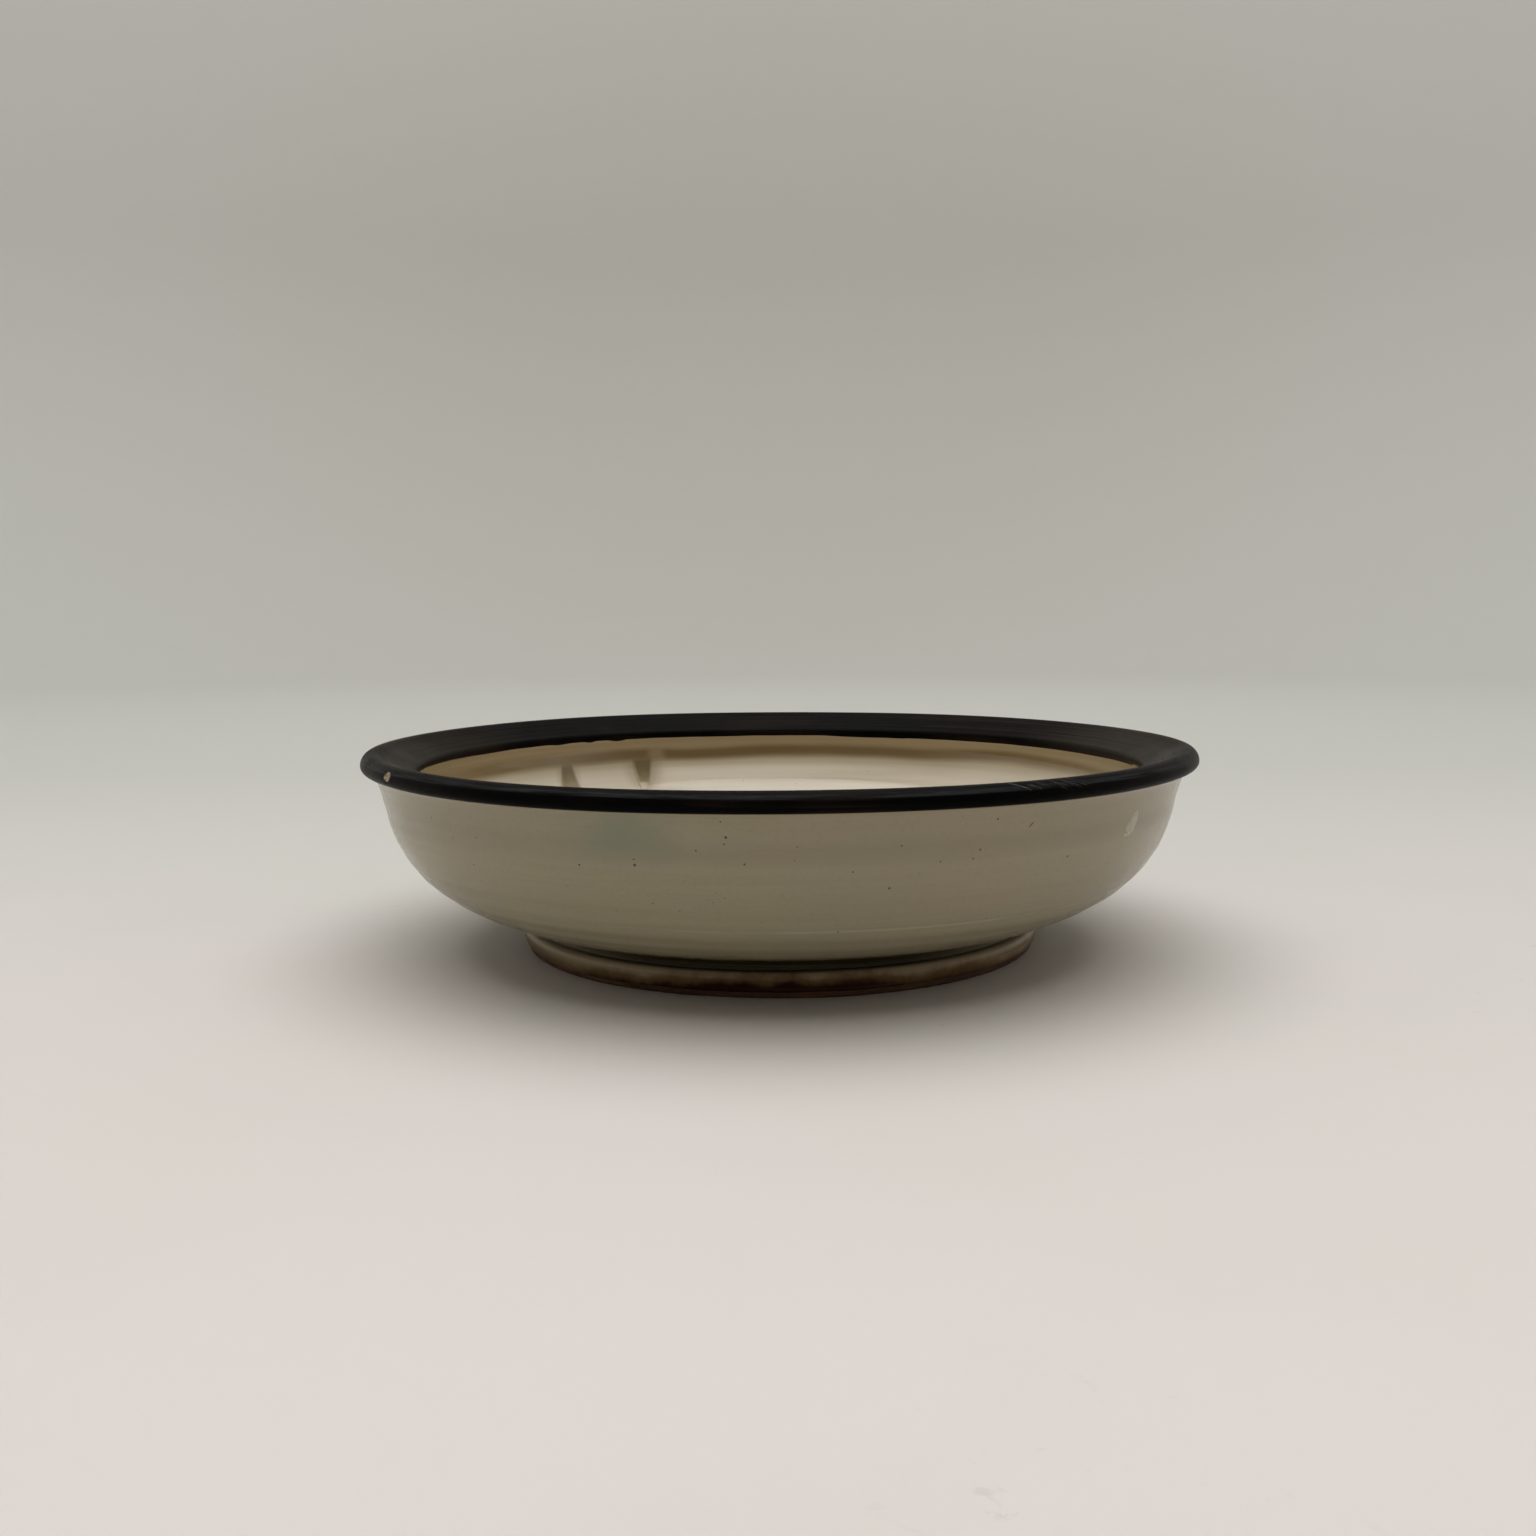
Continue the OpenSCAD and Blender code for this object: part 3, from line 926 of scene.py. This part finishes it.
def iron_glaze():
    """Satin black-brown glaze: brown where it is thin, grey and pitted along the worn crest with a grey band
    on its outer side that is partly wear and partly painted sheen, painted sheen at the lip's two ends, and
    broken off pale clay at the chip."""
    p = Paint("iron_glaze", 0.36, specular=0.023)
    streaks = p.bands(1.6, detail=3, round_about=14)
    clouds = p.noise(45, detail=3)
    thin = p.product(p.span(streaks, 0.35, 0.75), p.span(clouds, 0.4, 0.65))
    colour = p.mix(thin, (0.0016, 0.0015, 0.0016), (0.016, 0.0105, 0.0068))
    # Browner and a little lighter at the left end of the lip: partly the glaze's brown tone, partly painted
    # sheen
    left = p.span(p.reach((-0.070, 0.004, 0.035), 0.050), 1.0, 0.3, 0, 0.4)
    colour = p.mix(left, colour, (0.018, 0.0105, 0.006))
    height = p.axis("Z")
    crest = p.span(height, below_crest(1.25), below_crest(0.8))
    grain = p.noise(3200, detail=3, rough=0.75)
    wear = p.product(crest, p.span(grain, 0.42, 0.70))
    colour = p.mix(wear, colour, (0.009, 0.008, 0.0075))
    # A patchy grey band on the outer side of the crest: partly rubbed wear, partly painted sheen of the
    # crest's upper face
    rubbed_and_sheen_levels = [below_crest(depth) for depth in (1.35, 1.05, 0.75, 0.4)]
    outer_side = p.span(p.radius(), (RIM_R - 1.3) * MM, (RIM_R - 0.8) * MM)
    patchy = p.span(p.bands(4.0, detail=3, rough=0.7, round_about=90), 0.36, 0.62)
    rubbed_and_sheen = p.product(p.between(height, *rubbed_and_sheen_levels), outer_side, patchy)
    colour = p.mix(rubbed_and_sheen, colour, (0.025, 0.026, 0.028))
    chip = p.reach(on_glaze(S_WIDEST + CHIP_UP, from_front(CHIP_AT)), 0.0013, 0.00085)
    chip = p.span(p.maths("ADD", chip, p.wobble(p.noise(1900, detail=1), 0.25)), 1.05, 0.8)
    colour = p.mix(chip, colour, (0.42, 0.35, 0.25))
    # Painted sheen: the right end of the lip made lighter
    right = p.span(p.reach((0.070, 0.012, 0.035), 0.040), 1.0, 0.3, 0, 0.85)
    colour = p.mix(right, colour, (0.024, 0.018, 0.013))
    roughness = p.maths("ADD", p.span(clouds, 0.3, 0.7, 0.30, 0.42), p.product(wear, 0.2))
    normal = p.bump(p.bands(3.0, detail=2, round_about=30), 0.03)
    return p.finish(colour, roughness, p.bump(grain, 0.02, normal))


def inner_wall_colour(p, height):
    """Tan over the shoulder of the wall, a brown line under the lip's edge that is partly glaze gathered
    there and partly painted shade, strongest at the back, and cream below. The tan ends sharply at the left
    of the back and softly elsewhere."""
    level = p.maths("ADD", height, p.wobble(p.noise(30, detail=2), 0.0007))
    streaks = p.span(p.bands(0.5, detail=3), 0.35, 0.7)
    cream = p.mix(streaks, (0.86, 0.81, 0.70), (0.76, 0.69, 0.55))
    tan = p.mix(streaks, (0.36, 0.283, 0.165), (0.30, 0.228, 0.125))
    for at, _, _, head, _ in RUNS:
        wide = (0.7 * head + 1.6) * MM
        halo = p.reach(on_glaze(inside_length(25.2), from_back(at)), wide, 0.007)
        cream = p.mix(p.span(halo, 1.0, 0.35, 0, 0.5), cream, tan)
    sharp = p.span(p.axis("X"), -0.022, -0.029)
    cream = p.mix(p.product(sharp, p.span(level, 0.0205, 0.0262, 0, 0.42)), cream, tan)
    soft_edge = p.span(level, 0.0238, 0.0290)
    sharp_edge = p.span(level, 0.0252, 0.0278)
    colour = p.mix(p.blend(sharp, soft_edge, sharp_edge), cream, tan)
    # Brown line under the lip's inner edge: partly glaze gathered there, partly painted shade, made strongest
    # at the back
    line = p.between(level, 0.0264, 0.0281, 0.0288, 0.0302)
    back = p.span(p.reach((0.004, 0.065, 0.028), 0.095), 1.0, 0.35, 0.2, 0.92)
    gap = p.reach(on_glaze(inside_length(27.6), from_back(LINE_GAP)), 0.0032, 0.0040)
    whole = p.span(gap, 0.2, 1.0, 0.4, 1.0)
    return p.mix(p.product(line, back, whole), colour, (0.155, 0.098, 0.032))


def amber_glaze():
    """Glossy inner glaze, darker where it pooled round the floor."""
    p = Paint("amber_glaze", 0.16, coat=0.5)
    height = p.axis("Z")
    colour = inner_wall_colour(p, height)
    colour = p.mix(p.span(height, 0.0150, 0.0122, 0, 0.7), colour, (0.47, 0.39, 0.22))
    colour = p.mix(p.span(wheel_marks(p), 0.45, 0.75, 0, 0.35), colour, (0.36, 0.27, 0.14))
    colour = p.mix(p.product(p.dots(0.5, 0.07), 0.6), colour, (0.16, 0.10, 0.05))
    roughness = p.span(p.noise(140, detail=2), 0.3, 0.7, 0.10, 0.22)
    return p.finish(colour, roughness, p.bump(p.noise(700, detail=2), 0.015))


def wheel_marks(p):
    """Noise that changes quickly with distance from the axis and slowly round about."""
    join = p.nodes.new("ShaderNodeCombineXYZ")
    p.set(join.inputs[0], p.product(p.radius(), 400.0))
    p.set(join.inputs[1], p.product(p.axis("X"), 12.0))
    p.set(join.inputs[2], p.product(p.axis("Y"), 12.0))
    return p.noise(1.0, vector=join.outputs[0])


def run_glaze():
    """Tan glaze of the runs, brown higher up, with edges that melt into the wall's colour. The second run
    fades to a pale tail."""
    p = Paint("run_glaze", 0.14, coat=0.5)
    clouds = p.noise(180, detail=3)
    height = p.axis("Z")
    level = p.maths("ADD", height, p.wobble(clouds, 0.001))
    wall = inner_wall_colour(p, height)
    colour = p.mix(p.span(clouds, 0.35, 0.7), (0.38, 0.31, 0.185), (0.32, 0.25, 0.14))
    colour = p.mix(p.span(level, 0.0212, 0.0258), colour, (0.165, 0.125, 0.057))
    second = p.span(p.axis("X"), -0.038, -0.034)
    tail = p.product(p.span(height, 0.0230, 0.0212, 0, 0.8), second)
    colour = p.mix(tail, colour, wall)
    edges = []
    for at, z_top, _, head, foot in RUNS:
        half = p.span(height, (z_top - 8) * MM, z_top * MM, foot / 2 * MM, head / 2 * MM)
        edges.append(p.span(p.maths("DIVIDE", p.across(from_back(at)), half), 0.55, 1.0, 0, 0.85))
    colour = p.mix(p.blend(second, *edges), colour, wall)
    colour = p.mix(p.span(height, 0.0266, 0.0284), colour, wall)
    return p.finish(colour, p.span(p.noise(300), 0.3, 0.7, 0.10, 0.2), p.bump(p.noise(700), 0.015))


def foot_glaze():
    """Thin glaze on the foot: pale on the shoulder, breaking to red-brown below, with the break lifted at the
    front and the groove near black, both partly painted shade.
    """
    p = Paint("foot_glaze", 0.25, coat=0.06, coat_roughness=0.1, specular=0.25)
    height = p.axis("Z")
    mottle = p.noise(150, detail=4, rough=0.65)
    level = p.maths("ADD", height, p.wobble(mottle, 0.0011))
    level = p.maths("ADD", level, p.wobble(p.noise(60, detail=2), 0.0008))
    # Painted shade at the front: the red-brown break is lifted there so the foot is darker, over the glaze's
    # own break
    broken = p.span(p.reach((0.006, -0.046, 0.002), 0.040), 1.0, 0.2, 0, 0.0017)
    level = p.maths("SUBTRACT", level, broken)
    colour = p.mix(p.span(level, 0.0004, 0.0018), (0.024, 0.005, 0.001), (0.155, 0.092, 0.036))
    colour = p.mix(p.span(level, 0.0016, 0.0032), colour, (0.345, 0.280, 0.175))
    # Painted shade with pooled glaze: near black at the top of the shoulder in the groove, strongest at the
    # front
    pooled = p.span(height, 0.0041, 0.0047)
    colour = p.mix(p.product(pooled, pool_and_shade_depth(p)), colour, POOL_AND_SHADE_COLOUR)
    streaks = p.bands(2.0, detail=3, round_about=25)
    colour = p.mix(p.span(streaks, 0.5, 0.75, 0, 0.5), colour, (0.15, 0.085, 0.042))
    return p.finish(colour, p.span(mottle, 0.3, 0.7, 0.29, 0.40), p.bump(mottle, 0.03))


def foot_clay():
    """Bare clay of the foot, toasted red-brown, flecked with paler grit."""
    p = Paint("foot_clay", 0.7)
    grit = p.noise(900, detail=4, rough=0.7)
    clouds = p.noise(90, detail=3)
    colour = p.mix(p.span(clouds, 0.35, 0.7), (0.062, 0.023, 0.009), (0.11, 0.052, 0.023))
    colour = p.mix(p.span(grit, 0.55, 0.75, 0, 0.5), colour, (0.17, 0.105, 0.055))
    normal = p.bump(p.bands(2.5, round_about=30), 0.04)
    return p.finish(colour, p.span(grit, 0.3, 0.7, 0.6, 0.85), p.bump(grit, 0.05, normal))


def stoneware():
    """Bare buff stoneware with grog, seen underneath and in the holes."""
    p = Paint("stoneware", 0.8)
    grit = p.noise(700, detail=4, rough=0.7)
    clouds = p.noise(40, detail=3)
    colour = p.mix(p.span(clouds, 0.35, 0.7), (0.43, 0.31, 0.19), (0.33, 0.21, 0.12))
    colour = p.mix(p.span(wheel_marks(p), 0.4, 0.75, 0, 0.4), colour, (0.25, 0.155, 0.085))
    colour = p.mix(p.product(p.dots(0.6, 0.12), 0.7), colour, (0.10, 0.06, 0.035))
    colour = p.mix(p.span(grit, 0.58, 0.75, 0, 0.5), colour, (0.52, 0.42, 0.29))
    return p.finish(colour, None, p.bump(grit, 0.06))


def blister_glaze():
    """Pale, chalky glaze of the blister."""
    p = Paint("blister_glaze", 0.3, coat=0.3, coat_roughness=0.1)
    colour = p.mix(p.span(p.noise(1800, detail=2), 0.4, 0.65), (0.45, 0.41, 0.30), (0.33, 0.298, 0.203))
    return p.finish(colour, None, p.bump(p.noise(1500), 0.03))


def scratch_grey():
    """Powdery grey of the scratches, bright at the long one and faint elsewhere."""
    p = Paint("scratch_grey", 0.5)
    long_one = on_glaze(S_WIDEST + 1.5, from_front(SCRATCH_AT))
    bright = p.span(p.reach(long_one, 0.003), 1.0, 0.6, 0.25, 1.0)
    colour = p.mix(p.span(p.noise(2500), 0.4, 0.6), (0.10, 0.098, 0.09), (0.26, 0.25, 0.235))
    return p.finish(p.mix(bright, (0.022, 0.022, 0.024), colour))


def fleck_glaze():
    """Rusty brown of the iron flecks."""
    p = Paint("fleck_glaze", 0.3)
    colour = p.mix(p.span(p.noise(700), 0.35, 0.65), (0.045, 0.028, 0.015), (0.10, 0.065, 0.035))
    return p.finish(colour)


# ---------------- stage, light and camera

FLOOR_REACH = 0.95     # metres from the pot to where the backdrop starts to rise
SWEEP_R = 0.42         # radius of its curve
WALL_TOP = 1.9
STAGE_SIDES = 96


def make_stage():
    """A pale floor that sweeps up into a wall all round. The side that the pot's front faces is darker: the
    photo doesn't show that side, and this keeps the front as dark as the photo has it."""
    profile = [(r, 0.0) for r in (0.1, 0.2, 0.4, 0.7)]
    profile += [(FLOOR_REACH + SWEEP_R * math.sin(a), SWEEP_R * (1 - math.cos(a)))
                for a in np.linspace(0, math.pi / 2, 24)]
    profile.append((FLOOR_REACH + SWEEP_R, WALL_TOP))
    angles = np.linspace(0, FULL_TURN, STAGE_SIDES, endpoint=False)
    vertices = [(r * math.cos(a), r * math.sin(a), z) for r, z in profile for a in angles]
    vertices.append((0, 0, 0))
    faces = ring_faces(len(profile), STAGE_SIDES)
    faces += [(len(vertices) - 1, (j + 1) % STAGE_SIDES, j) for j in range(STAGE_SIDES)]
    stage = link_object("stage", vertices, faces)
    p = Paint("stage_paper", 0.75)
    side = p.span(p.axis("Y"), -0.15, -0.9)
    far = p.span(p.axis("Y"), -0.22, 0.34)
    middle = p.span(p.reach((0, 1.37, 0.3), 0.9, 0.75), 1.0, 0.2)
    paper = p.mix(p.span(p.noise(9, detail=4), 0.4, 0.7), (0.81, 0.762, 0.745), (0.775, 0.75, 0.72))
    scuffs = p.product(p.span(p.noise(160, detail=6, rough=0.7, warp=2.0), 0.60, 0.72),
                       p.span(p.noise(11, detail=2), 0.5, 0.65))
    paper = p.mix(scuffs, paper, (0.70, 0.66, 0.63))
    colour = p.mix(far, paper, (0.590, 0.598, 0.566))
    colour = p.mix(middle, colour, (0.55, 0.54, 0.505))
    colour = p.mix(side, colour, (0.30, 0.272, 0.24))
    stage.data.materials.append(p.finish(colour))


# Soft light overhead: height and width in metres, power in watts
LIGHT_UP = 1.5
LIGHT_SIZE = 2.3
LIGHT_POWER = 24.6


def make_lights():
    """A soft disc straight above, in a dim room."""
    data = bpy.data.lights.new("overhead", "AREA")
    data.shape = "DISK"
    data.size = LIGHT_SIZE
    data.energy = LIGHT_POWER
    data.color = (1.0, 0.985, 0.965)
    light = bpy.data.objects.new("overhead", data)
    light.location = (0, 0, LIGHT_UP)
    bpy.context.scene.collection.objects.link(light)
    world = bpy.data.worlds.new("room")
    bpy.context.scene.world = world
    world.use_nodes = True
    background = world.node_tree.nodes["Background"]
    background.inputs["Color"].default_value = (0.10, 0.098, 0.095, 1)
    background.inputs["Strength"].default_value = 0.5


# Camera: distances in lip radii, angles in degrees, focal length in frame widths
CAMERA_BACK = 3.7775
CAMERA_UP = 0.8416
CAMERA_PITCH = 6.358
CAMERA_TURN = 0.412
CAMERA_ROLL = -0.366
CAMERA_FOCAL = 1540 / 1536
SENSOR = 36.0


def make_camera():
    data = bpy.data.cameras.new("camera")
    data.sensor_width = SENSOR
    data.lens = SENSOR * CAMERA_FOCAL
    camera = bpy.data.objects.new("camera", data)
    turn = Matrix.Rotation(math.radians(CAMERA_TURN), 4, "Z")
    tilt = Matrix.Rotation(math.radians(90 - CAMERA_PITCH), 4, "X")
    roll = Matrix.Rotation(math.radians(CAMERA_ROLL), 4, "Z")
    place = Matrix.Translation((0, -CAMERA_BACK * RIM_R * MM, CAMERA_UP * RIM_R * MM))
    camera.matrix_world = place @ turn @ tilt @ roll
    bpy.context.scene.collection.objects.link(camera)
    bpy.context.scene.camera = camera


def main():
    make_camera()
    make_stage()
    make_lights()
    thrown_bowl(stoneware())
    turned_foot(foot_clay())
    outer_coat(pale_glaze())
    lip_coat(iron_glaze())
    inner_coat(amber_glaze())
    foot_coat(foot_glaze())
    glaze_runs(run_glaze())
    iron_flecks(fleck_glaze())
    lip_scratches(scratch_grey())
    blister(blister_glaze())
    settings = bpy.context.scene.view_settings
    settings.view_transform = "Standard"
    settings.look = "None"


main()
